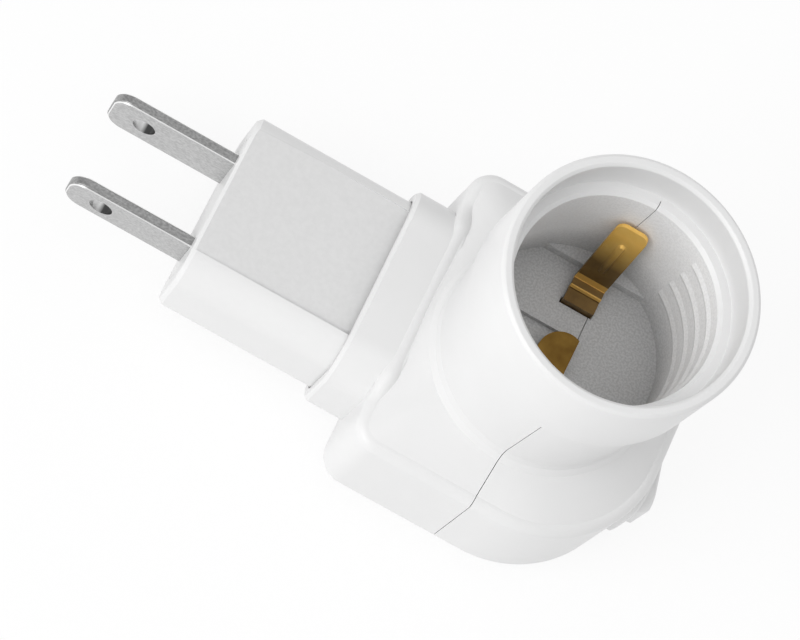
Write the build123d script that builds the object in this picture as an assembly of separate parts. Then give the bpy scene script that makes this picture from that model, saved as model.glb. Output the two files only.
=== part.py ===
from build123d import *
import os
from math import asin, atan2, cos, degrees, radians, sin, sqrt

# Plug-in lamp socket adapter: a two-blade plug, a two-shell housing with an
# upright E26 lamp socket, and a rocker switch on the end away from the plug.
# Millimetres. +Z runs up the socket axis, +X from the plug to the switch.
# The origin is on the flat underside, below the socket axis.

# Plug
plug_axis_height = 9.4
plug_face_x = -45.9
plug_width = 26.1
plug_height = 14.6
plug_corner = 4.2
plug_edge_chamfer = 0.6
plug_wall = 1.6
plug_front_wall = 2.0
panel_start_depth = 0.15
panel_depth = 0.7
panel_near_y = -8.9
panel_far_y = 10.5
hook_height = 6.0
hook_length = 3.0
hook_barb = 1.2
hook_barb_length = 1.0
hook_clearance = 0.1

# Blades
blade_spacing = 12.7
blade_thick = 1.5
blade_length = 17.2
neutral_blade_width = 7.94
live_blade_width = 6.35
blade_hole = 3.2
blade_hole_from_face = 12.2
blade_tip_round = 2.4
blade_edge_chamfer = 0.3
blade_root_length = 11.0
blade_root_width = 5.0
slot_clearance = 0.05
carrier_width = 19.6
carrier_height = 9.6
carrier_corner = 2.4
carrier_flange_thick = 4.0
carrier_clearance = 0.1

# Housing
housing_start_x = -17.8
housing_end_x = 20.5
housing_width = 42.6
housing_height = 17.4
housing_wall = 2.0
plug_end_corner = 3.6
switch_end_corner = 16.8
top_edge_round = 1.4
bottom_edge_chamfer = 2.0
shell_gap = 0.1
collar_length = 5.6
collar_wall = 1.5
collar_gap = 0.25
collar_edge_chamfer = 0.45
collar_root = 2.2

# Socket
bore_radius = 13.3
barrel_foot_radius = 14.75
barrel_top_radius = 15.75
shoulder_height = 2.9
foot_flare = 0.85
foot_round = 3.0
floor_height = 25.0
bore_depth = 20.3
bore_edge_chamfer = 0.5
lip_height = 5.6
neck_height = 7.4
floor_thick = 2.0
floor_seam_x = 1.9
floor_tongue_half = 10.6
floor_ledge_y = 11.2
floor_ledge_height = 1.4
floor_recess_y = 2.0
floor_recess_depth = 0.8
neck_radius = 14.4
ring_radius = 16.55
ring_clearance = 0.05
ring_step = 0.5
ring_edge_chamfer = 0.4

# Lamp-thread ribs in the bore
thread_pitch = 3.63
thread_depth = 0.22
thread_rib_count = 4
thread_rib_arc = 110.0
thread_first_rise = 6.0
thread_rib_half = 0.85

# Contacts in the socket
contact_thick = 0.5
contact_clearance = 0.15
contact_tail = 5.0
side_contact_width = 4.4
side_contact_foot_y = 6.0
side_contact_step_y = 7.7
side_contact_knee_y = 9.2
side_contact_top_y = 12.5
side_contact_height = 13.9
side_contact_lift = 0.9
side_contact_step = 0.5
side_contact_tip_round = 1.2
side_rib_width = 1.5
side_rib_taper = 40.0
side_rib_depth = 0.35
side_rib_length = 7.0
centre_contact_width = 4.55
centre_contact_x = -0.525
centre_contact_foot_y = -8.2
centre_contact_tip_y = 1.45
centre_contact_tip_radius = 3.3
centre_contact_tip_x = 1.025
centre_contact_lift = 0.9
centre_contact_rise = 1.0

# Switch
pad_width = 19.4
pad_height = 13.6
pad_corner = 4.0
pad_reach = 0.5
pad_edge_chamfer = 0.35
switch_axis_height = 7.7
case_width = 18.0
case_height = 10.6
case_corner = 3.6
case_depth = 13.0
case_wall = 0.6
case_back_wall = 1.0
case_clearance = 0.1
ear_length = 1.7
ear_step = 0.6
ear_height = 4.0
ear_setback = 3.5
rocker_clearance = 0.15
rocker_face_angle = 4.5
rocker_tilt = 7.0
rocker_crown = 0.3
rocker_skirt = 2.2
rocker_wall = 1.1
rocker_edge_chamfer = 0.3
rocker_corner = 3.0
pivot_depth = 1.6
pin_radius = 1.0
pin_clearance = 0.05
post_radius = 2.1
post_reach = 4.0
post_bore = 1.3
plunger_radius = 1.1
plunger_reach = 7.3
plunger_length = 5.7
plunger_tip_chamfer = 0.7
spring_wire = 0.36
spring_turns = 2
seesaw_gap = 0.25
seesaw_thick = 0.5
seesaw_width = 3.6
seesaw_length = 10.8
seesaw_share = 0.7
seesaw_tab = 0.4
seesaw_tab_clearance = 0.2
seesaw_tip_radius = 0.2
seesaw_tip_rise = 0.25
terminal_thick = 0.8
terminal_width = 3.4
terminal_tail = 4.6
terminal_head = 2.6
terminal_head_thick = 0.7
load_terminal_y = 4.3
button_radius = 1.1
button_thick = 0.45
rest_clearance = 0.05

# Snap hooks between the shells
latch_root = 4.0
latch_reach = 6.0
latch_catch_x = 4.0
latch_catch_length = 1.2
latch_thick = 1.0
latch_barb = 0.55
latch_clearance = 0.15
latch_low = 5.0
latch_high = 12.0

# Leads
lead_radius = 0.9
lead_bend = 3.5
lead_sides = 6
lead_drop = 1.5
lead_slack = 9.0
live_lead_turn_x = -17.0
live_lead_end_x = -6.0
switched_lead_turn_x = -1.0
switched_lead_low_x = -5.0
switched_lead_side_x = -7.5
switched_lead_side_y = -3.5
switched_lead_dip = 0.8
switched_lead_rise = 1.2
neutral_lead_turn_x = -14.0

# Places that follow from the sizes above
half_spacing = blade_spacing / 2
switch_face_x = housing_end_x + pad_reach
wall_inside_x = housing_start_x + housing_wall
collar_front_x = housing_start_x - collar_length
foot_height = housing_height + shoulder_height
ledge_height = floor_height + bore_depth
ring_bottom = ledge_height - neck_height
ring_top = ledge_height + lip_height
contact_tail_height = floor_height - contact_tail
side_contact_top = floor_height + side_contact_height
flare_rise = sqrt(foot_round**2 - (foot_round - foot_flare) ** 2)
blade_root_x = plug_face_x + blade_root_length
pivot_x = switch_face_x - pivot_depth
seesaw_pivot_x = pivot_x - plunger_reach - seesaw_gap - seesaw_thick
case_back_x = switch_face_x - case_depth
tail_end_x = case_back_x - terminal_tail
seesaw_tilt = rocker_tilt * seesaw_share


def along_x(profile, start, end):
    """Extrude a profile drawn in Y and Z from one X position to another."""
    return extrude(Plane.YZ.offset(start) * profile, end - start)


def x_cylinder(radius, start, end, y, z):
    """Round bar lying along X."""
    return along_x(Pos(y, z) * Circle(radius), start, end)


def z_cylinder(radius, bottom, top, x=0.0, y=0.0):
    """Round bar standing along Z."""
    return extrude(Plane.XY.offset(bottom) * (Pos(x, y) * Circle(radius)), top - bottom)


def block(x0, x1, y0, y1, z0, z1):
    """Box given by its lowest and highest corners."""
    size = (x1 - x0, y1 - y0, z1 - z0)
    return Pos((x0 + x1) / 2, (y0 + y1) / 2, (z0 + z1) / 2) * Box(*size)


def both_sides(solid):
    """The solid and its mirror image across the middle plane of the adapter."""
    return solid + mirror(solid, Plane.XZ)


def plug_section(growth):
    """Rounded section of the plug block, grown outwards by a distance."""
    width = plug_width + 2 * growth
    height = plug_height + 2 * growth
    return Pos(0, plug_axis_height) * RectangleRounded(width, height, plug_corner + growth)


def housing_outline(inset):
    """Plan of the housing: small corners at the plug end, large at the switch."""
    length = housing_end_x - housing_start_x - 2 * inset
    middle = (housing_end_x + housing_start_x) / 2
    plan = Pos(middle, 0) * Rectangle(length, housing_width - 2 * inset)
    near_plug = plan.vertices().group_by(Axis.X)[0]
    plan = fillet(near_plug, plug_end_corner - inset)
    near_switch = plan.vertices().group_by(Axis.X)[-1]
    return fillet(near_switch, switch_end_corner - inset)


def foot_circle(radius, outline):
    """Circle cut into arcs that face the corners of the housing outline."""
    corners = outline.vertices()
    turns = sorted(degrees(atan2(v.Y, v.X)) % 360 for v in corners)
    ends = turns[1:] + [turns[0] + 360]
    arcs = [CenterArc((0, 0), radius, a, b - a) for a, b in zip(turns, ends)]
    return make_face(arcs)


def shoulder():
    """Sloping blend from the housing's top edge to the round foot of the barrel."""
    outline = housing_outline(top_edge_round)
    low = Plane.XY.offset(housing_height) * outline
    circle = foot_circle(barrel_foot_radius + foot_flare, outline)
    high = Plane.XY.offset(foot_height) * circle
    return loft([low, high], ruled=True)


def barrel():
    """Slightly conical lower socket wall with a flared foot."""
    flare_top = foot_height + flare_rise
    half_turn = asin(flare_rise / foot_round) / 2
    middle_r = barrel_foot_radius + foot_round * (1 - cos(half_turn))
    middle_z = flare_top - foot_round * sin(half_turn)
    outer_foot = (barrel_foot_radius + foot_flare, foot_height)
    foot_top = (barrel_foot_radius, flare_top)
    edges = [
        Line((0, foot_height), outer_foot),
        Line(outer_foot, (middle_r, middle_z)),
        Line((middle_r, middle_z), foot_top),
        Line(foot_top, (barrel_top_radius, ring_bottom)),
        Line((barrel_top_radius, ring_bottom), (0, ring_bottom)),
        Line((0, ring_bottom), (0, foot_height)),
    ]
    return revolve(Plane.XZ * make_face(edges), Axis.Z)


def collar():
    """Rounded sleeve on the plug end that the plug block passes through."""
    profile = plug_section(collar_gap + collar_wall)
    sleeve = along_x(profile, collar_front_x, housing_start_x + collar_root)
    rim_edges = sleeve.faces().sort_by(Axis.X)[0].edges()
    return chamfer(rim_edges, collar_edge_chamfer)


def switch_pad():
    """Flat pad on the round end of the housing that frames the switch."""
    profile = Pos(0, switch_axis_height) * RectangleRounded(pad_width, pad_height, pad_corner)
    pad = along_x(profile, housing_end_x - switch_end_corner / 2, switch_face_x)
    return chamfer(pad.faces().sort_by(Axis.X)[-1].edges(), pad_edge_chamfer)


def housing_form():
    """Solid outer form of both shells together."""
    base = extrude(housing_outline(0), housing_height)
    base = fillet(base.faces().sort_by(Axis.Z)[-1].edges(), top_edge_round)
    base = chamfer(base.faces().sort_by(Axis.Z)[0].edges(), bottom_edge_chamfer)
    neck = z_cylinder(neck_radius, ring_bottom, ledge_height)
    return base + shoulder() + barrel() + neck + collar() + switch_pad()


def housing_hollow():
    """Wiring space below the socket floor, one wall inside the outer form."""
    inner_height = housing_height - 2 * housing_wall
    inner = extrude(Plane.XY.offset(housing_wall) * housing_outline(housing_wall), inner_height)
    well = z_cylinder(bore_radius, housing_height / 2, floor_height - floor_thick)
    return inner + well


def shell_latch():
    """Flexible hook on the switch-side shell that reaches past the split."""
    wall = housing_width / 2 - housing_wall
    arm_out = wall - latch_barb - 2 * latch_clearance
    arm_in = arm_out - latch_thick
    tip = -latch_reach
    catch = -latch_catch_x - latch_clearance
    split = shell_gap / 2
    plan = Polyline(
        (latch_root, wall + latch_clearance), (latch_root, arm_in), (tip, arm_in),
        (tip, arm_out), (tip + latch_barb, arm_out + latch_barb),
        (catch, arm_out + latch_barb), (catch, arm_out), (split, arm_out),
        (split, wall + latch_clearance), close=True,
    )
    return extrude(Plane.XY.offset(latch_low) * make_face(plan), latch_high - latch_low)


def shell_catch():
    """Rib on the plug-side shell's wall that the hook's barb sits behind."""
    wall = housing_width / 2 - housing_wall
    return block(
        -latch_catch_x, latch_catch_length - latch_catch_x,
        wall - latch_barb, wall + latch_clearance, latch_low, latch_high,
    )


def thread_ribs():
    """Short lamp-thread ribs on the switch side of the bore."""
    inner = bore_radius - thread_depth
    buried = bore_radius + thread_depth
    ribs = []
    for turn in range(thread_rib_count):
        z = floor_height + thread_first_rise + turn * thread_pitch
        edges = Polyline(
            (buried, z - 2 * thread_rib_half), (inner, z),
            (buried, z + 2 * thread_rib_half), close=True,
        )
        rib = revolve(Plane.XZ * make_face(edges), Axis.Z, thread_rib_arc)
        ribs.append(Rot(0, 0, -thread_rib_arc / 2) * rib)
    return ribs


def floor_ledge():
    """Low step where the socket floor meets the wall behind the side contact."""
    step = block(
        -bore_radius, bore_radius, floor_ledge_y, bore_radius + contact_thick,
        floor_height, floor_height + floor_ledge_height,
    )
    return step & z_cylinder(bore_radius + contact_thick, floor_height, ledge_height)


def floor_recess():
    """Shallow recess in the socket floor under the centre contact."""
    low = floor_height - floor_recess_depth
    recess = block(-bore_radius, floor_seam_x, -bore_radius, floor_recess_y, low, floor_height)
    return recess & z_cylinder(bore_radius, low, floor_height)


def contact_slots():
    """Slots in the socket floor that the tails of the two contacts pass through."""
    half_thick = contact_thick / 2 + contact_clearance
    bottom = floor_height - floor_thick
    side_half = side_contact_width / 2 + contact_clearance
    side = block(
        -side_half, side_half,
        side_contact_foot_y - half_thick, side_contact_foot_y + half_thick,
        bottom, floor_height,
    )
    centre_half = centre_contact_width / 2 + contact_clearance
    centre = block(
        centre_contact_x - centre_half, centre_contact_x + centre_half,
        centre_contact_foot_y - half_thick, centre_contact_foot_y + half_thick,
        bottom, floor_height,
    )
    return side + centre


def switch_opening():
    """Rectangular opening through the pad and end wall for the switch case."""
    width = case_width + 2 * case_clearance
    height = case_height + 2 * case_clearance
    corner = case_corner + case_clearance
    profile = Pos(0, switch_axis_height) * RectangleRounded(width, height, corner)
    return along_x(profile, case_back_x, switch_face_x)


def bore_mouth():
    """Bevel around the top edge of the bore."""
    middle = ledge_height - bore_edge_chamfer / 2
    return Pos(0, 0, middle) * Cone(
        bore_radius, bore_radius + bore_edge_chamfer, bore_edge_chamfer
    )


def whole_housing():
    """Both shells joined, hollowed and opened for the plug, lamp and switch."""
    form = housing_form() - housing_hollow()
    form -= along_x(plug_section(collar_gap), collar_front_x, wall_inside_x)
    form -= z_cylinder(bore_radius, floor_height, ledge_height)
    form -= bore_mouth()
    form -= switch_opening()
    form += both_sides(shell_catch())
    form += floor_ledge()
    form -= floor_recess() + contact_slots()
    for rib in thread_ribs():
        form += rib
    return form


def front_zone(gap):
    """Space of the plug-side shell: up to the split plane and the floor tongue."""
    reach = -collar_front_x + 1
    side = block(-reach, gap, -reach, reach, -1, ring_top)
    tongue = block(
        -1, floor_seam_x + gap, -floor_tongue_half - gap, floor_tongue_half + gap,
        floor_height - floor_thick, floor_height,
    )
    return side + tongue


def front_housing(whole):
    """Plug-side shell with the collar and the socket floor's tongue."""
    return whole & front_zone(-shell_gap / 2)


def rear_housing(whole):
    """Switch-side shell with the switch pad, the thread ribs and the hooks."""
    return whole - front_zone(shell_gap / 2) + both_sides(shell_latch())


def skirt_ring():
    """Sleeve pressed over the necks of both shells that forms the socket's rim."""
    inner = neck_radius + ring_clearance
    ring = z_cylinder(ring_radius, ring_bottom, ring_top)
    ring -= z_cylinder(inner, ring_bottom, ledge_height)
    ring -= z_cylinder(inner + ring_step, ledge_height, ring_top)
    rims = ring.edges().group_by(Axis.Z)
    return chamfer(rims[-1] + rims[0].sort_by(SortBy.RADIUS)[-1:], ring_edge_chamfer)


def plug_shell():
    """Hollow plug block with a bare, slightly sloping label panel and two snap hooks."""
    outer = along_x(plug_section(0), plug_face_x, wall_inside_x)
    outer = chamfer(outer.faces().sort_by(Axis.X)[0].edges(), plug_edge_chamfer)
    top = plug_axis_height + plug_height / 2
    slope = Polyline(
        (plug_face_x, top), (wall_inside_x, top), (wall_inside_x, top - panel_depth),
        (plug_face_x, top - panel_start_depth), close=True,
    )
    panel = extrude(Plane.XZ.offset(-panel_far_y) * make_face(slope), panel_far_y - panel_near_y)
    inside = along_x(plug_section(-plug_wall), plug_face_x + plug_front_wall, wall_inside_x)
    front_opening = along_x(
        carrier_section(carrier_clearance), plug_face_x, plug_face_x + plug_front_wall
    )
    shell = outer - panel - inside - front_opening
    return shell + both_sides(snap_hook())


def snap_hook():
    """Hook that carries on the plug's side wall and catches behind the end wall."""
    outside = plug_width / 2
    inside = outside - plug_wall
    start = wall_inside_x + hook_clearance
    end = wall_inside_x + hook_length
    low = plug_axis_height - hook_height / 2
    barb = outside + hook_barb
    plan = Polyline(
        (start - 2 * hook_clearance, inside), (start - 2 * hook_clearance, outside),
        (start, outside), (start, barb), (start + hook_barb_length, barb),
        (end, outside - plug_wall / 2), (end, inside), close=True,
    )
    return extrude(Plane.XY.offset(low) * make_face(plan), hook_height)


def carrier_section(growth):
    """Rounded section of the blade carrier, grown by a distance."""
    width = carrier_width + 2 * growth
    height = carrier_height + 2 * growth
    return Pos(0, plug_axis_height) * RectangleRounded(width, height, carrier_corner + growth)


def blade_carrier():
    """Insert in the plug face that holds both blades, with a flange behind it."""
    flange_start = plug_face_x + plug_front_wall
    front = along_x(carrier_section(0), plug_face_x, flange_start)
    flange = along_x(
        plug_section(-plug_wall - carrier_clearance),
        flange_start, flange_start + carrier_flange_thick,
    )
    carrier = front + flange
    for y, width in ((half_spacing, neutral_blade_width), (-half_spacing, live_blade_width)):
        half = blade_thick / 2 + slot_clearance
        tall = width / 2 + slot_clearance
        carrier -= block(
            plug_face_x, flange_start + carrier_flange_thick, y - half, y + half,
            plug_axis_height - tall, plug_axis_height + tall,
        )
    return carrier


def blade(width, y):
    """Flat plug blade with a round-cornered tip, a hole and a narrower root."""
    shoulder_x = plug_face_x + plug_front_wall + carrier_flange_thick
    tip_x = plug_face_x - blade_length
    middle = (tip_x + shoulder_x) / 2
    flat = Pos(middle, 0) * Rectangle(shoulder_x - tip_x, width)
    flat = fillet(flat.vertices().group_by(Axis.X)[0], blade_tip_round)
    bar = extrude(Plane.XZ.offset(-blade_thick / 2) * flat, blade_thick)
    outline_edges = bar.faces().filter_by(Axis.Y).edges()
    outline_edges = outline_edges.filter_by_position(Axis.X, tip_x, shoulder_x - blade_thick)
    bar = chamfer(outline_edges, blade_edge_chamfer)
    root = block(
        shoulder_x, blade_root_x, -blade_thick / 2, blade_thick / 2,
        -blade_root_width / 2, blade_root_width / 2,
    )
    hole_x = plug_face_x - blade_hole_from_face
    hole = Pos(hole_x, 0, 0) * Rot(90, 0, 0) * Cylinder(blade_hole / 2, 2 * blade_thick)
    return Pos(0, y, plug_axis_height) * (bar + root - hole)


def lead(*points):
    """Insulated lead along straight runs joined by arcs."""
    path = FilletPolyline(*points, radius=lead_bend)
    start = Plane(origin=path @ 0, z_dir=path % 0)
    return sweep(start * RegularPolygon(lead_radius, lead_sides), path)


def neutral_lead():
    """Lead from the wide blade's root up to the tail of the side contact."""
    y = side_contact_foot_y
    low = plug_axis_height - lead_drop
    return lead(
        (blade_root_x, half_spacing, plug_axis_height),
        (blade_root_x + lead_slack, half_spacing, plug_axis_height),
        (neutral_lead_turn_x, y, low),
        (0, y, low),
        (0, y, contact_tail_height),
    )


def live_lead():
    """Lead from the narrow blade's root to the switch's common terminal."""
    return lead(
        (blade_root_x, -half_spacing, plug_axis_height),
        (live_lead_turn_x, -half_spacing, plug_axis_height),
        (live_lead_end_x, 0, switch_axis_height),
        (tail_end_x, 0, switch_axis_height),
    )


def switched_lead():
    """Lead from the switch's load terminal up to the tail of the centre contact."""
    low = housing_wall + 2 * lead_radius
    rise_x = centre_contact_x
    rise_y = centre_contact_foot_y
    return lead(
        (tail_end_x, load_terminal_y, switch_axis_height),
        (switched_lead_turn_x, load_terminal_y, switch_axis_height),
        (switched_lead_low_x, load_terminal_y - switched_lead_dip, low),
        (switched_lead_side_x, switched_lead_side_y, low),
        (rise_x, rise_y, low + switched_lead_rise),
        (rise_x, rise_y, contact_tail_height),
    )


def bent_strip(points, width):
    """Flat strip bent along points in Y and Z, of the contact thickness."""
    line = Polyline(*points)
    outline = offset(line, contact_thick / 2, side=Side.BOTH, kind=Kind.INTERSECTION)
    return extrude(Plane.YZ * make_face(outline.edges()), width / 2, both=True)


def side_contact():
    """Brass side spring: tail, stepped foot and a leaning strip with a pressed rib."""
    low = floor_height + side_contact_lift
    knee = (side_contact_knee_y, low + side_contact_step)
    top = (side_contact_top_y, side_contact_top)
    strip = bent_strip(
        [
            (side_contact_foot_y, contact_tail_height + contact_thick / 2),
            (side_contact_foot_y, low),
            (side_contact_step_y, low),
            (side_contact_step_y + side_contact_step / 2, low + side_contact_step),
            knee,
            top,
        ],
        side_contact_width,
    )
    bottom = contact_tail_height - contact_thick
    reach = side_contact_top - bottom
    front = Pos(0, bottom + reach / 2) * Rectangle(side_contact_width, reach)
    front = fillet(front.vertices().group_by(Axis.Y)[-1], side_contact_tip_round)
    strip &= extrude(Plane.XZ * front, bore_radius, both=True)
    lean = degrees(atan2(top[0] - knee[0], top[1] - knee[1]))
    middle = Vector(0, (knee[0] + top[0]) / 2, (knee[1] + top[1]) / 2)
    rib = Rot(90, 0, 0) * extrude(
        Rot(0, 0, 90) * SlotOverall(side_rib_length, side_rib_width),
        contact_thick / 2 + side_rib_depth, taper=side_rib_taper,
    )
    return strip + Pos(middle) * Rot(-lean, 0, 0) * rib


def centre_contact():
    """Brass tongue in the middle of the floor that touches the lamp's tip."""
    low = floor_height + centre_contact_lift
    strip = bent_strip(
        [
            (centre_contact_foot_y, contact_tail_height + contact_thick / 2),
            (centre_contact_foot_y, low),
            (centre_contact_tip_y, low + centre_contact_rise),
        ],
        centre_contact_width,
    )
    round_y = centre_contact_tip_y - centre_contact_tip_radius
    tip = z_cylinder(centre_contact_tip_radius, 0, ledge_height, centre_contact_tip_x, round_y)
    half_width = centre_contact_width / 2
    column = block(-half_width, half_width, -bore_radius, round_y, 0, ledge_height)
    column += block(-half_width, half_width, round_y, centre_contact_tip_y, 0, ledge_height) & tip
    return Pos(centre_contact_x, 0, 0) * (strip & column)


def switch_case():
    """Snap-in switch box with a rim, pivot holes, terminal slots and side ears."""
    section = switch_section(case_width, case_height, case_corner)
    outer = along_x(section, case_back_x, switch_face_x)
    inner_width = case_width - 2 * case_wall
    inner_height = case_height - 2 * case_wall
    inside = along_x(
        switch_section(inner_width, inner_height, case_corner - case_wall),
        case_back_x + case_back_wall, switch_face_x,
    )
    pivot_hole = z_cylinder(
        pin_radius + pin_clearance, switch_axis_height - case_height,
        switch_axis_height + case_height, pivot_x, 0,
    )
    case = outer - inside - pivot_hole
    for y in (0, load_terminal_y):
        half = terminal_thick / 2 + slot_clearance
        tall = terminal_width / 2 + slot_clearance
        case -= block(
            case_back_x, case_back_x + case_back_wall, y - half, y + half,
            switch_axis_height - tall, switch_axis_height + tall,
        )
    ear_end = switch_face_x - ear_setback
    ear = block(
        ear_end - ear_length, ear_end, case_width / 2 - case_wall / 2, case_width / 2 + ear_step,
        switch_axis_height - ear_height / 2, switch_axis_height + ear_height / 2,
    )
    return case + both_sides(ear)


def switch_section(width, height, corner):
    """Rounded section of the switch in Y and Z."""
    return Pos(0, switch_axis_height) * RectangleRounded(width, height, corner)


def at_pivot(solid, x, turn):
    """Place a piece drawn about its pivot, turned as the photograph shows it."""
    return Pos(x, 0, switch_axis_height) * Rot(0, 0, turn) * solid


def rocker():
    """Rocker paddle with a shallow V face, round ends, pins and a plunger post."""
    half_height = case_height / 2 - case_wall - rocker_clearance
    end_radius = case_width / 2 - case_wall - rocker_clearance
    crown = pivot_depth + rocker_crown
    slope = radians(rocker_face_angle)
    reach = sqrt(end_radius**2 - (crown * cos(slope)) ** 2) - crown * sin(slope)
    top = (crown + reach * sin(slope), reach * cos(slope))
    low = (-rocker_skirt, sqrt(end_radius**2 - rocker_skirt**2))
    plan = make_face(
        [
            Line((top[0], -top[1]), (crown, 0)),
            Line((crown, 0), top),
            ThreePointArc(top, (0, end_radius), low),
            Line(low, (low[0], -low[1])),
            ThreePointArc((low[0], -low[1]), (0, -end_radius), (top[0], -top[1])),
        ]
    )
    body = extrude(plan, half_height, both=True)
    front = RectangleRounded(2 * end_radius, 2 * half_height, rocker_corner)
    body &= along_x(front, -end_radius, end_radius)
    face_edges = body.faces().sort_by(Axis.X)[-2:].edges()
    rim_edges = [edge for edge in face_edges if abs(edge.center().Y) > rocker_edge_chamfer]
    body = chamfer(rim_edges, rocker_edge_chamfer)
    pocket = block(
        -rocker_skirt, crown - rocker_wall, post_radius + rocker_wall / 2,
        low[1] - rocker_wall, rocker_wall - half_height, half_height - rocker_wall,
    )
    body -= both_sides(pocket)
    body += x_cylinder(post_radius, -post_reach, 0, 0, 0)
    body -= x_cylinder(post_bore, -post_reach, crown - rocker_wall, 0, 0)
    pin_end = case_height / 2 - rest_clearance
    body += z_cylinder(pin_radius, half_height, pin_end)
    body += z_cylinder(pin_radius, -pin_end, -half_height)
    return at_pivot(body, pivot_x, rocker_tilt)


def rocker_plunger():
    """Pin with a tapered tip that the spring pushes out of the rocker's post."""
    pin = x_cylinder(plunger_radius, -plunger_reach, plunger_length - plunger_reach, 0, 0)
    pin = chamfer(pin.edges().sort_by(Axis.X)[0], plunger_tip_chamfer)
    return at_pivot(pin, pivot_x, rocker_tilt)


def rocker_spring():
    """Small compression spring between the plunger and the rocker."""
    start = plunger_length - plunger_reach + spring_wire / 2 + rest_clearance
    end = pivot_depth + rocker_crown - rocker_wall - spring_wire / 2 - rest_clearance
    coil_radius = post_bore - spring_wire
    coil = Helix((end - start) / spring_turns, end - start, coil_radius)
    profile = Plane(origin=coil @ 0, z_dir=coil % 0) * Rectangle(spring_wire, spring_wire)
    spring = sweep(profile, coil, is_frenet=True)
    return at_pivot(Pos(start, 0, 0) * Rot(0, 90, 0) * spring, pivot_x, rocker_tilt)


def seesaw_contact():
    """Contact bar that rocks on the common terminal under the plunger."""
    half = seesaw_length / 2
    bar = block(0, seesaw_thick, -half, half, -seesaw_width / 2, seesaw_width / 2)
    inner = terminal_thick / 2 + seesaw_tab_clearance
    tab = block(
        -seesaw_tab, seesaw_thick, inner, inner + seesaw_tab,
        -seesaw_width / 2, seesaw_width / 2,
    )
    groove = z_cylinder(seesaw_tip_radius + pin_clearance, -seesaw_width, seesaw_width)
    return at_pivot(bar + both_sides(tab) - groove, seesaw_pivot_x, -seesaw_tilt)


def seesaw_button():
    """Silver contact button on the moving bar."""
    button = x_cylinder(button_radius, -button_thick, 0, load_terminal_y, 0)
    return at_pivot(button, seesaw_pivot_x, -seesaw_tilt)


def terminal_plate(y, head_x):
    """Flat terminal that runs from its tail through the case's back wall."""
    half = terminal_thick / 2
    return block(
        tail_end_x, head_x, y - half, y + half,
        switch_axis_height - terminal_width / 2, switch_axis_height + terminal_width / 2,
    )


def button_seat_x():
    """X of the load terminal's head, clear of the bar when the contact closes."""
    tilt = radians(seesaw_tilt)
    drop = (load_terminal_y + button_radius) * sin(tilt) + button_thick
    return seesaw_pivot_x - drop - button_thick - rest_clearance


def common_terminal():
    """Terminal with a round-edged tip that the contact bar rocks on."""
    shoulder_x = seesaw_pivot_x - seesaw_tip_rise
    low = switch_axis_height - terminal_width / 2
    high = switch_axis_height + terminal_width / 2
    tip = block(shoulder_x, seesaw_pivot_x, -seesaw_tip_radius, seesaw_tip_radius, low, high)
    tip += z_cylinder(seesaw_tip_radius, low, high, seesaw_pivot_x)
    return terminal_plate(0, shoulder_x) + tip


def load_terminal():
    """Terminal with a flat head under the moving contact button."""
    head_x = button_seat_x()
    head = block(
        head_x - terminal_head_thick, head_x,
        load_terminal_y - terminal_head / 2, load_terminal_y + terminal_head / 2,
        switch_axis_height - terminal_width / 2, switch_axis_height + terminal_width / 2,
    )
    return terminal_plate(load_terminal_y, head_x) + head


def terminal_button():
    """Silver contact button on the load terminal's head."""
    head_x = button_seat_x()
    return x_cylinder(
        button_radius, head_x, head_x + button_thick, load_terminal_y, switch_axis_height
    )


def build():
    """Every piece of the adapter, by name."""
    whole = whole_housing()
    return {
        "front_housing": front_housing(whole),
        "rear_housing": rear_housing(whole),
        "skirt_ring": skirt_ring(),
        "plug_shell": plug_shell(),
        "blade_carrier": blade_carrier(),
        "neutral_blade": blade(neutral_blade_width, half_spacing),
        "live_blade": blade(live_blade_width, -half_spacing),
        "neutral_lead": neutral_lead(),
        "live_lead": live_lead(),
        "switched_lead": switched_lead(),
        "side_contact": side_contact(),
        "centre_contact": centre_contact(),
        "switch_case": switch_case(),
        "rocker": rocker(),
        "rocker_plunger": rocker_plunger(),
        "rocker_spring": rocker_spring(),
        "seesaw_contact": seesaw_contact(),
        "seesaw_button": seesaw_button(),
        "common_terminal": common_terminal(),
        "load_terminal": load_terminal(),
        "terminal_button": terminal_button(),
    }


os.makedirs("parts", exist_ok=True)
for name, piece in build().items():
    export_step(piece, f"parts/{name}.step")
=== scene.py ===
import bmesh
import bpy
import numpy as np
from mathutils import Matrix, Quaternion, Vector


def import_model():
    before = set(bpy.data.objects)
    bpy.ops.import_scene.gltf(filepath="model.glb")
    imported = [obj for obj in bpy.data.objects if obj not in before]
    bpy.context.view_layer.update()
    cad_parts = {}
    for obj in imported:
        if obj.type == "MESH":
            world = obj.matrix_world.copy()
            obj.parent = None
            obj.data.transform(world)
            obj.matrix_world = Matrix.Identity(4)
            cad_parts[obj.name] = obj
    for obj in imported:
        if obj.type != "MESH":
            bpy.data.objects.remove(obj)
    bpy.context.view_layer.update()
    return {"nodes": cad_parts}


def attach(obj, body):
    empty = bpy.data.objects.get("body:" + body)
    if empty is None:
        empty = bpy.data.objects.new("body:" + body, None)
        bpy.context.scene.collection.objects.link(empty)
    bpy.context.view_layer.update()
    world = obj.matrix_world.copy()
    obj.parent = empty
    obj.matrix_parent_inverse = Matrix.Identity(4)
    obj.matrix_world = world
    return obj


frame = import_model()
nodes = frame["nodes"]

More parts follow.
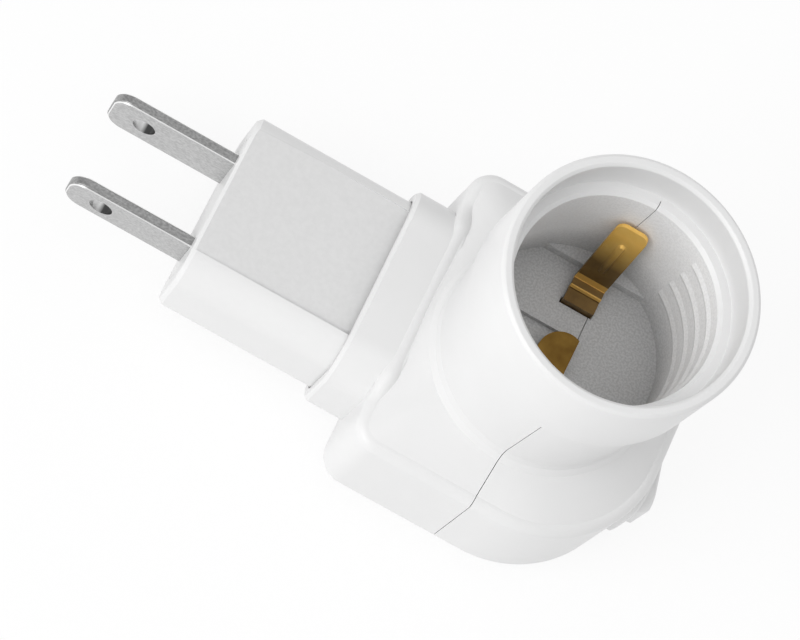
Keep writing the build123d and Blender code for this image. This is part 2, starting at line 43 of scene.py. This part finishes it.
# Where the colours change on the part, in metres, including the bounds of painted
# light and painted shade.
BORE_RADIUS = 0.0141
BORE_FLOOR_Z = 0.024
BORE_MOUTH_Z = 0.04479
WALL_LIT_Z = 0.033
PANEL_START_X = -0.0459
PANEL_START_Z = 0.01655
PANEL_NEAR_Y = -0.00892
PANEL_FAR_Y = 0.01052
PANEL_SKIN = 0.00003
BLADE_Y = 0.00635
BLADE_AXIS_Z = 0.0094
BLADE_EDGE_HALF = 0.0006
BLADE_FACE_HALF = 0.00074
BLADE_HOLE_X = -0.0581
BLADE_HOLE_REACH = 0.0018
FOOT_BENDS_Y = (0.0078, 0.0091)
FOOT_BEND_HALF = 0.00017
# The side contact is painted shade below the first height and painted light above the
# second.
CONTACT_SHADED_BELOW_Z = 0.031
CONTACT_LIT_ABOVE_Z = 0.0372

# Fall of the label panel in Z for each metre along X.
PANEL_SLOPE = 0.55 / 30.1

# Depths of the surface relief, in metres.
FINE_RELIEF = 0.000004
BLADE_RELIEF = 0.000008

# Ridge where the collar meets the end wall, in metres: half its reach in Y and half of
# its full height's, its lowest and highest crest, then its section along X and Z.
RIDGE_OUTER_Y = 0.0156
RIDGE_INNER_Y = 0.0109
RIDGE_LOW_Z = 0.01736
RIDGE_HIGH_Z = 0.01862
RIDGE_WALL_X = -0.01778
RIDGE_ROUND = 0.0012
RIDGE_RUN = 0.0018
RIDGE_FALL = 0.0012
RIDGE_UNDER_Z = 0.0171
RIDGE_SKIN = 0.00005
RIDGE_ROWS = 121
RIDGE_ROUND_POINTS = 13
RIDGE_RUN_POINTS = 8

# Ledge in the socket's mouth, in metres, and half the turn of the split, in radians.
LEDGE_INNER = 0.01382
LEDGE_OUTER = 0.01494
LEDGE_LOW_Z = 0.04528
LEDGE_HIGH_Z = 0.045315
LEDGE_ROWS = 97
SPLIT_TURN = 0.0035

# Folds sharper than these angles, in radians, stay sharp or are rounded.
SHARP_ANGLE = 0.6
FOLD_ANGLE = 0.35

# Widths of the rounded edges and the reach of the weld before them, in metres.
CONTACT_ROUND = 0.00012
RING_ROUND = 0.00011
ROUND_SEGMENTS = 3
WELD_REACH = 0.000001

# Stage: sizes in metres, and the shares of white and of light.
FLOOR_HALF = 1.5
FLOOR_DROP = 0.00005
FLOOR_WHITE = 0.85
LIGHT_AIM = (0, 0, 0.02)
WORLD_LIGHT = 0.79
WORLD_SEEN = 1.0


def grey(tone):
    """Colour without a hue."""
    return (tone, tone, tone)


class Shader:
    """A material under construction: its nodes, links and main shader."""

    def __init__(self, name):
        self.material = bpy.data.materials.new(name)
        self.material.use_nodes = True
        self.tree = self.material.node_tree
        self.tree.nodes.clear()
        self.output = self.add("OutputMaterial")
        self.surface = self.add("BsdfPrincipled")
        self.join(self.surface.outputs["BSDF"], self.output.inputs["Surface"])
        self.coords = self.add("TexCoord")

    def add(self, kind):
        """New node of the material."""
        return self.tree.nodes.new("ShaderNode" + kind)

    def join(self, source, target):
        """Link one socket to another."""
        self.tree.links.new(source, target)

    def fix(self, **values):
        """Set sockets of the main shader that are the same everywhere."""
        for key, value in values.items():
            self.surface.inputs[key.replace("_", " ")].default_value = value

    def feed(self, value, name):
        """Drive a socket of the main shader."""
        self.join(value, self.surface.inputs[name])

    def noise(self, scale, detail, stretch=(1.0, 1.0, 1.0)):
        """Noise in the object's own coordinates, finer along a larger stretch."""
        mapping = self.add("Mapping")
        mapping.inputs["Scale"].default_value = stretch
        noise = self.add("TexNoise")
        noise.inputs["Scale"].default_value = scale
        noise.inputs["Detail"].default_value = detail
        self.join(self.coords.outputs["Object"], mapping.inputs["Vector"])
        self.join(mapping.outputs["Vector"], noise.inputs["Vector"])
        return noise.outputs["Fac"]

    def math(self, operation, *values):
        """One arithmetic step on sockets or numbers."""
        node = self.add("Math")
        node.operation = operation
        for socket, value in zip(node.inputs, values):
            if isinstance(value, (int, float)):
                socket.default_value = value
            else:
                self.join(value, socket)
        return node.outputs["Value"]

    def axes(self):
        """X, Y and Z of the shaded point."""
        split = self.add("SeparateXYZ")
        self.join(self.coords.outputs["Object"], split.inputs["Vector"])
        return split.outputs["X"], split.outputs["Y"], split.outputs["Z"]

    def ramp(self, value, first, second, start=0.3, end=0.7):
        """Colour from the first to the second as the value goes from start to end."""
        node = self.add("ValToRGB")
        stops = ((start, first), (end, second))
        for element, (place, colour) in zip(node.color_ramp.elements, stops):
            element.position = place
            element.color = (*colour, 1.0)
        self.join(value, node.inputs["Fac"])
        return node.outputs["Color"]

    def blend(self, factor, first, second):
        """Mix of two colour sockets or colours: the first where the factor is 0."""
        node = self.add("Mix")
        node.data_type = "RGBA"
        for name, value in (("A", first), ("B", second)):
            socket = [s for s in node.inputs if s.name == name and s.type == "RGBA"][0]
            if isinstance(value, tuple):
                socket.default_value = (*value, 1.0)
            else:
                self.join(value, socket)
        mixed = [s for s in node.inputs if s.name == "Factor" and s.type == "VALUE"]
        self.join(factor, mixed[0])
        return [s for s in node.outputs if s.type == "RGBA"][0]

    def map_range(self, value, **ends):
        """Value mapped from one range onto another, each 0 to 1 if not given."""
        node = self.add("MapRange")
        for key, end in ends.items():
            node.inputs[key.replace("_", " ").title()].default_value = end
        self.join(value, node.inputs["Value"])
        return node.outputs["Result"]

    def spread(self, value, low, high):
        """Map a value of 0 to 1 onto a range."""
        return self.map_range(value, to_min=low, to_max=high)

    def between(self, value, low, high):
        """0 below the low value, 1 above the high one and a slope between."""
        return self.map_range(value, from_min=low, from_max=high)

    def bump(self, height, distance):
        """Surface relief from a height value, in metres."""
        node = self.add("Bump")
        node.inputs["Distance"].default_value = distance
        node.inputs["Strength"].default_value = 1.0
        self.join(height, node.inputs["Height"])
        self.join(node.outputs["Normal"], self.surface.inputs["Normal"])


def inside_socket(shader):
    """1 in the socket's bore and on its floor, 0 elsewhere."""
    x, y, z = shader.axes()
    across = shader.math("MULTIPLY", x, x)
    along = shader.math("MULTIPLY", y, y)
    radius = shader.math("SQRT", shader.math("ADD", across, along))
    narrow = shader.math("LESS_THAN", radius, BORE_RADIUS)
    above = shader.math("GREATER_THAN", z, BORE_FLOOR_Z)
    below = shader.math("LESS_THAN", z, BORE_MOUTH_Z)
    return shader.math("MULTIPLY", narrow, shader.math("MULTIPLY", above, below))


def on_panel(shader):
    """1 on the sloping label panel on top of the plug block, 0 elsewhere."""
    x, y, z = shader.axes()
    along = shader.math("SUBTRACT", x, PANEL_START_X)
    plane = shader.math("SUBTRACT", PANEL_START_Z,
                        shader.math("MULTIPLY", along, PANEL_SLOPE))
    off = shader.math("ABSOLUTE", shader.math("SUBTRACT", z, plane))
    level = shader.math("LESS_THAN", off, PANEL_SKIN)
    near = shader.math("GREATER_THAN", y, PANEL_NEAR_Y)
    far = shader.math("LESS_THAN", y, PANEL_FAR_Y)
    return shader.math("MULTIPLY", level, shader.math("MULTIPLY", near, far))


def white_plastic(name):
    """Satin white moulding with a faint variation of tone and gloss."""
    shader = Shader(name)
    cloud = shader.noise(scale=90.0, detail=4.0)
    shader.feed(shader.ramp(cloud, grey(0.78), grey(0.80)), "Base Color")
    shader.feed(shader.spread(cloud, 0.30, 0.38), "Roughness")
    shader.fix(IOR=1.46)
    shader.bump(shader.noise(scale=2600.0, detail=2.0), FINE_RELIEF)
    return shader


def shell_plastic():
    """White moulding, grained, with painted shade greying the socket's floor and
    painted light brightening the bore's upper wall.
    """
    shader = white_plastic("shell_white")
    outside = shader.surface.inputs["Base Color"].links[0].from_socket
    grain = shader.noise(scale=3600.0, detail=3.0)
    # Painted shade at the floor of the socket, and painted light on its upper wall,
    # which is lighter than the moulding outside.
    painted_floor_shade = shader.ramp(grain, grey(0.42), grey(0.54), 0.4, 0.6)
    wall = shader.ramp(grain, grey(0.89), grey(0.97), 0.4, 0.6)
    height = shader.axes()[2]
    shade_to_light = shader.between(height, BORE_FLOOR_Z, WALL_LIT_Z)
    inside = shader.blend(shade_to_light, painted_floor_shade, wall)
    shader.feed(shader.blend(inside_socket(shader), outside, inside), "Base Color")
    return shader.material


def plug_plastic():
    """White moulding with a greyer label panel."""
    shader = white_plastic("plug_white")
    outside = shader.surface.inputs["Base Color"].links[0].from_socket
    grain = shader.noise(scale=1500.0, detail=2.0)
    panel = shader.ramp(grain, grey(0.69), grey(0.72))
    shader.feed(shader.blend(on_panel(shader), outside, panel), "Base Color")
    return shader.material


def blade_metal():
    """Nickel plate with a fine grain, painted shade on the narrow edges and painted
    highlights on the bevels.

    The wall of the blade's hole has a painted highlight towards the tip and painted
    shade on the other side.
    """
    shader = Shader("blade_nickel")
    grain = shader.noise(scale=4200.0, detail=3.0, stretch=(0.6, 1.0, 1.0))
    plate = shader.ramp(grain, grey(0.46), grey(0.62), 0.35, 0.65)
    # Painted shade on the blade's narrow edges.
    edge = shader.ramp(grain, grey(0.30), grey(0.46), 0.35, 0.65)
    x, y, z = shader.axes()
    offset = shader.math("SUBTRACT", shader.math("ABSOLUTE", y), BLADE_Y)
    offset = shader.math("ABSOLUTE", offset)
    ahead = shader.math("SUBTRACT", x, BLADE_HOLE_X)
    above = shader.math("SUBTRACT", z, BLADE_AXIS_Z)
    apart = shader.math("ADD", shader.math("MULTIPLY", ahead, ahead),
                        shader.math("MULTIPLY", above, above))
    past_hole = shader.math("GREATER_THAN", apart, BLADE_HOLE_REACH**2)
    inner = shader.math("LESS_THAN", offset, BLADE_EDGE_HALF)
    painted_edge_shade = shader.math("MULTIPLY", inner, past_hole)
    painted_light_and_shade_zone = shader.math("LESS_THAN", offset, BLADE_FACE_HALF)
    across = shader.between(ahead, -BLADE_HOLE_REACH, BLADE_HOLE_REACH)
    # Painted highlight and painted shade on the two sides of the hole's wall.
    hole = shader.ramp(across, grey(0.95), grey(0.10), 0.45, 0.62)
    # Painted highlight on the bevels between the narrow edges and the faces.
    bright = shader.blend(past_hole, hole, grey(0.95))
    colour = shader.blend(painted_light_and_shade_zone, plate, bright)
    shader.feed(shader.blend(painted_edge_shade, colour, edge), "Base Color")
    shader.feed(shader.spread(grain, 0.30, 0.42), "Roughness")
    shader.fix(Metallic=1.0)
    shader.bump(grain, BLADE_RELIEF)
    return shader.material


def brass(name, dark, bright):
    """Brass strip with slight darkening."""
    shader = Shader(name)
    cloud = shader.noise(scale=500.0, detail=4.0)
    shader.feed(shader.ramp(cloud, dark, bright), "Base Color")
    shader.feed(shader.spread(cloud, 0.25, 0.4), "Roughness")
    shader.fix(Metallic=1.0)
    shader.bump(shader.noise(scale=3000.0, detail=2.0), FINE_RELIEF)
    return shader.material


def side_brass():
    """Brass with painted light on the sprung top, painted highlights on the foot's
    bends and painted shade making the rest dark brown.
    """
    shader = Shader("side_brass")
    cloud = shader.noise(scale=500.0, detail=4.0)
    # Painted shade for the lower strip and painted light for the sprung top.
    low = shader.ramp(cloud, (0.13, 0.075, 0.02), (0.20, 0.12, 0.035))
    high = shader.ramp(cloud, (0.95, 0.56, 0.11), (1.0, 0.64, 0.17))
    _, y, z = shader.axes()
    reach = shader.math("ABSOLUTE", y)
    # Painted highlights along the foot's two bends.
    for bend in FOOT_BENDS_Y:
        away = shader.math("ABSOLUTE", shader.math("SUBTRACT", reach, bend))
        bend_highlight = shader.math("LESS_THAN", away, FOOT_BEND_HALF)
        low = shader.blend(bend_highlight, low, (0.75, 0.46, 0.12))
    shade_to_light = shader.between(z, CONTACT_SHADED_BELOW_Z, CONTACT_LIT_ABOVE_Z)
    shader.feed(shader.blend(shade_to_light, low, high), "Base Color")
    shader.feed(shader.spread(cloud, 0.38, 0.5), "Roughness")
    shader.fix(Metallic=0.5)
    shader.bump(shader.noise(scale=3000.0, detail=2.0), FINE_RELIEF)
    return shader.material


def plain_metal(name, tone):
    """Plain bright metal of the pieces inside the switch."""
    shader = Shader(name)
    cloud = shader.noise(scale=700.0, detail=3.0)
    shader.feed(shader.ramp(cloud, grey(tone - 0.06), grey(tone)), "Base Color")
    shader.feed(shader.spread(cloud, 0.25, 0.35), "Roughness")
    shader.fix(Metallic=1.0)
    return shader.material


def insulation(name, tone):
    """Dull insulation of a lead."""
    shader = Shader(name)
    cloud = shader.noise(scale=400.0, detail=3.0)
    shader.feed(shader.ramp(cloud, grey(tone * 0.9), grey(tone)), "Base Color")
    shader.feed(shader.spread(cloud, 0.45, 0.6), "Roughness")
    return shader.material


MOULDED = white_plastic("moulded_white").material
FINISHES = [
    (shell_plastic(), ["front_housing", "rear_housing"]),
    (plug_plastic(), ["plug_shell"]),
    (MOULDED, [
        "skirt_ring", "blade_carrier", "switch_case", "rocker", "rocker_plunger",
    ]),
    (blade_metal(), ["neutral_blade", "live_blade"]),
    (side_brass(), ["side_contact"]),
    # The centre contact's near-black brass is painted shade, for its place deep in the
    # socket.
    (brass("centre_brass_painted_shade", (0.11, 0.06, 0.014), (0.18, 0.105, 0.025)), [
        "centre_contact",
    ]),
    (brass("terminal_brass", (0.60, 0.36, 0.08), (0.78, 0.50, 0.16)), [
        "common_terminal", "load_terminal", "seesaw_contact",
    ]),
    (plain_metal("button_silver", 0.85), ["seesaw_button", "terminal_button"]),
    (plain_metal("spring_steel", 0.6), ["rocker_spring"]),
    (insulation("lead_white", 0.8), ["neutral_lead"]),
    (insulation("lead_black", 0.05), ["live_lead", "switched_lead"]),
]
for finish, names in FINISHES:
    for name in names:
        mesh = nodes[name].data
        mesh.materials.clear()
        mesh.materials.append(finish)


def closed_tube(name, loops, finish):
    """Closed piece from a row of equal loops of points, with a flat face at each end.

    The loops are an array of (loop, point, xyz); each quad joins two points of one
    loop to the same two of the next.
    """
    rows, count, _ = loops.shape
    row, step = np.meshgrid(np.arange(rows - 1), np.arange(count), indexing="ij")
    ahead = (step + 1) % count
    a, b = row * count + step, row * count + ahead
    quads = np.stack([a, b, b + count, a + count], axis=-1).reshape(-1, 4)
    first = list(range(count))[::-1]
    last = list(range((rows - 1) * count, rows * count))
    mesh = bpy.data.meshes.new(name)
    mesh.from_pydata(loops.reshape(-1, 3).tolist(), [], quads.tolist() + [first, last])
    form = bmesh.new()
    form.from_mesh(mesh)
    bmesh.ops.recalc_face_normals(form, faces=form.faces)
    form.to_mesh(mesh)
    form.free()
    mesh.shade_smooth()
    mesh.set_sharp_from_angle(angle=SHARP_ANGLE)
    mesh.materials.append(finish)
    piece = bpy.data.objects.new(name, mesh)
    bpy.context.scene.collection.objects.link(piece)
    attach(piece, "adapter")


def collar_ridge():
    """Rounded top edge of the housing's end wall where the collar meets it.

    At each Y a quarter circle turns from the wall to the top, which then falls
    with the square of the way along X into the shoulder; the height eases down to
    the housing's own edge at both ends along a smooth step.
    """
    y = np.linspace(-RIDGE_OUTER_Y, RIDGE_OUTER_Y, RIDGE_ROWS)
    part = (RIDGE_OUTER_Y - np.abs(y)) / (RIDGE_OUTER_Y - RIDGE_INNER_Y)
    part = np.clip(part, 0, 1)
    crest = RIDGE_LOW_Z + (RIDGE_HIGH_Z - RIDGE_LOW_Z) * part**2 * (3 - 2 * part)
    turn = np.linspace(0, np.pi / 2, RIDGE_ROUND_POINTS)
    way = np.linspace(0, 1, RIDGE_RUN_POINTS + 1)[1:]
    x = RIDGE_WALL_X + np.concatenate([RIDGE_ROUND * (1 - np.cos(turn)),
                                       RIDGE_ROUND + RIDGE_RUN * way])
    drop = np.concatenate([RIDGE_ROUND * (1 - np.sin(turn)), RIDGE_FALL * way**2])
    top = crest[:, None] - drop
    upper = np.stack(np.broadcast_arrays(x, y[:, None], top), axis=-1)
    lower = upper[:, [-1, 0]].copy()
    under = np.minimum(RIDGE_UNDER_Z, crest - RIDGE_ROUND - RIDGE_SKIN)
    lower[..., 2] = under[:, None]
    closed_tube("collar_ridge", np.concatenate([upper, lower], axis=1), MOULDED)


def ledge_face(name, start, end):
    """Half of the flat ledge around the mouth of the bore.

    A thin rectangle in radius and Z, turned about Z from one angle to another.
    """
    turn = np.linspace(start, end, LEDGE_ROWS)[:, None]
    radius = np.array([LEDGE_INNER, LEDGE_OUTER, LEDGE_OUTER, LEDGE_INNER])
    height = np.array([LEDGE_LOW_Z, LEDGE_LOW_Z, LEDGE_HIGH_Z, LEDGE_HIGH_Z])
    loops = np.broadcast_arrays(np.cos(turn) * radius, np.sin(turn) * radius, height)
    closed_tube(name, np.stack(loops, axis=-1), MOULDED)


def round_edges(name, width):
    """Take the sharpness off the folds and cut edges of a piece."""
    weld = nodes[name].modifiers.new("weld", "WELD")
    weld.merge_threshold = WELD_REACH
    bevel = nodes[name].modifiers.new("round_edges", "BEVEL")
    bevel.width = width
    bevel.segments = ROUND_SEGMENTS
    bevel.limit_method = "ANGLE"
    bevel.angle_limit = FOLD_ANGLE


collar_ridge()
ledge_face("ledge_face_rear", SPLIT_TURN - np.pi / 2, np.pi / 2 - SPLIT_TURN)
ledge_face("ledge_face_front", SPLIT_TURN + np.pi / 2, np.pi * 3 / 2 - SPLIT_TURN)
round_edges("side_contact", CONTACT_ROUND)
round_edges("centre_contact", CONTACT_ROUND)
round_edges("skirt_ring", RING_ROUND)


def camera():
    """Camera solved on the photograph."""
    data = bpy.data.cameras.new("photo_camera")
    data.lens = 149.44
    data.sensor_width = 36.0
    data.sensor_fit = "HORIZONTAL"
    data.clip_start = 0.01
    view = bpy.data.objects.new("photo_camera", data)
    view.location = (-0.073904, -0.174084, 0.397757)
    view.rotation_mode = "QUATERNION"
    view.rotation_quaternion = Quaternion((0.947603, 0.185155, -0.115207, 0.233438))
    bpy.context.scene.collection.objects.link(view)
    bpy.context.scene.camera = view


def floor():
    """Pale floor under the part, mostly pure white to the camera and reflections."""
    corners = [(-1, -1), (1, -1), (1, 1), (-1, 1)]
    mesh = bpy.data.meshes.new("floor")
    mesh.from_pydata([(FLOOR_HALF * x, FLOOR_HALF * y, 0) for x, y in corners],
                     [], [(0, 1, 2, 3)])
    plane = bpy.data.objects.new("floor", mesh)
    plane.location = (0, 0, -FLOOR_DROP)
    bpy.context.scene.collection.objects.link(plane)
    shader = Shader("floor_pale")
    cloud = shader.noise(scale=3.0, detail=2.0)
    shader.feed(shader.ramp(cloud, grey(0.95), grey(0.97)), "Base Color")
    shader.fix(Roughness=0.9, Specular_IOR_Level=0.0)
    path = shader.add("LightPath")
    seen = shader.math("MAXIMUM", path.outputs["Is Camera Ray"],
                       path.outputs["Is Glossy Ray"])
    seen = shader.math("MAXIMUM", seen, path.outputs["Is Transmission Ray"])
    white = shader.add("Emission")
    mix = shader.add("MixShader")
    shader.join(shader.math("MULTIPLY", seen, FLOOR_WHITE), mix.inputs["Fac"])
    shader.join(shader.surface.outputs["BSDF"], mix.inputs[1])
    shader.join(white.outputs["Emission"], mix.inputs[2])
    shader.join(mix.outputs["Shader"], shader.output.inputs["Surface"])
    mesh.materials.append(shader.material)


def area_light(name, place, size, power):
    """Square soft light aimed at the part."""
    data = bpy.data.lights.new(name, "AREA")
    data.size = size
    data.energy = power
    lamp = bpy.data.objects.new(name, data)
    lamp.location = place
    direction = Vector(LIGHT_AIM) - Vector(place)
    lamp.rotation_mode = "QUATERNION"
    lamp.rotation_quaternion = direction.to_track_quat("-Z", "Y")
    bpy.context.scene.collection.objects.link(lamp)


def world():
    """Even white surroundings, pure white where the camera sees them."""
    surroundings = bpy.data.worlds.new("studio")
    surroundings.use_nodes = True
    tree = surroundings.node_tree
    tree.nodes.clear()
    output = tree.nodes.new("ShaderNodeOutputWorld")
    mix = tree.nodes.new("ShaderNodeMixShader")
    path = tree.nodes.new("ShaderNodeLightPath")
    either = tree.nodes.new("ShaderNodeMath")
    either.operation = "MAXIMUM"
    light = tree.nodes.new("ShaderNodeBackground")
    light.inputs["Strength"].default_value = WORLD_LIGHT
    seen = tree.nodes.new("ShaderNodeBackground")
    seen.inputs["Strength"].default_value = WORLD_SEEN
    for source, target in (
        (path.outputs["Is Camera Ray"], either.inputs[0]),
        (path.outputs["Is Transmission Ray"], either.inputs[1]),
        (either.outputs["Value"], mix.inputs["Fac"]),
        (light.outputs["Background"], mix.inputs[1]),
        (seen.outputs["Background"], mix.inputs[2]),
        (mix.outputs["Shader"], output.inputs["Surface"]),
    ):
        tree.links.new(source, target)
    bpy.context.scene.world = surroundings


camera()
floor()
area_light("key", place=(-0.54, -0.495, 0.52), size=0.6, power=3.8)
area_light("top", place=(0, -0.05, 0.9), size=0.6, power=0.9)
world()

bpy.context.scene.view_settings.view_transform = "Standard"
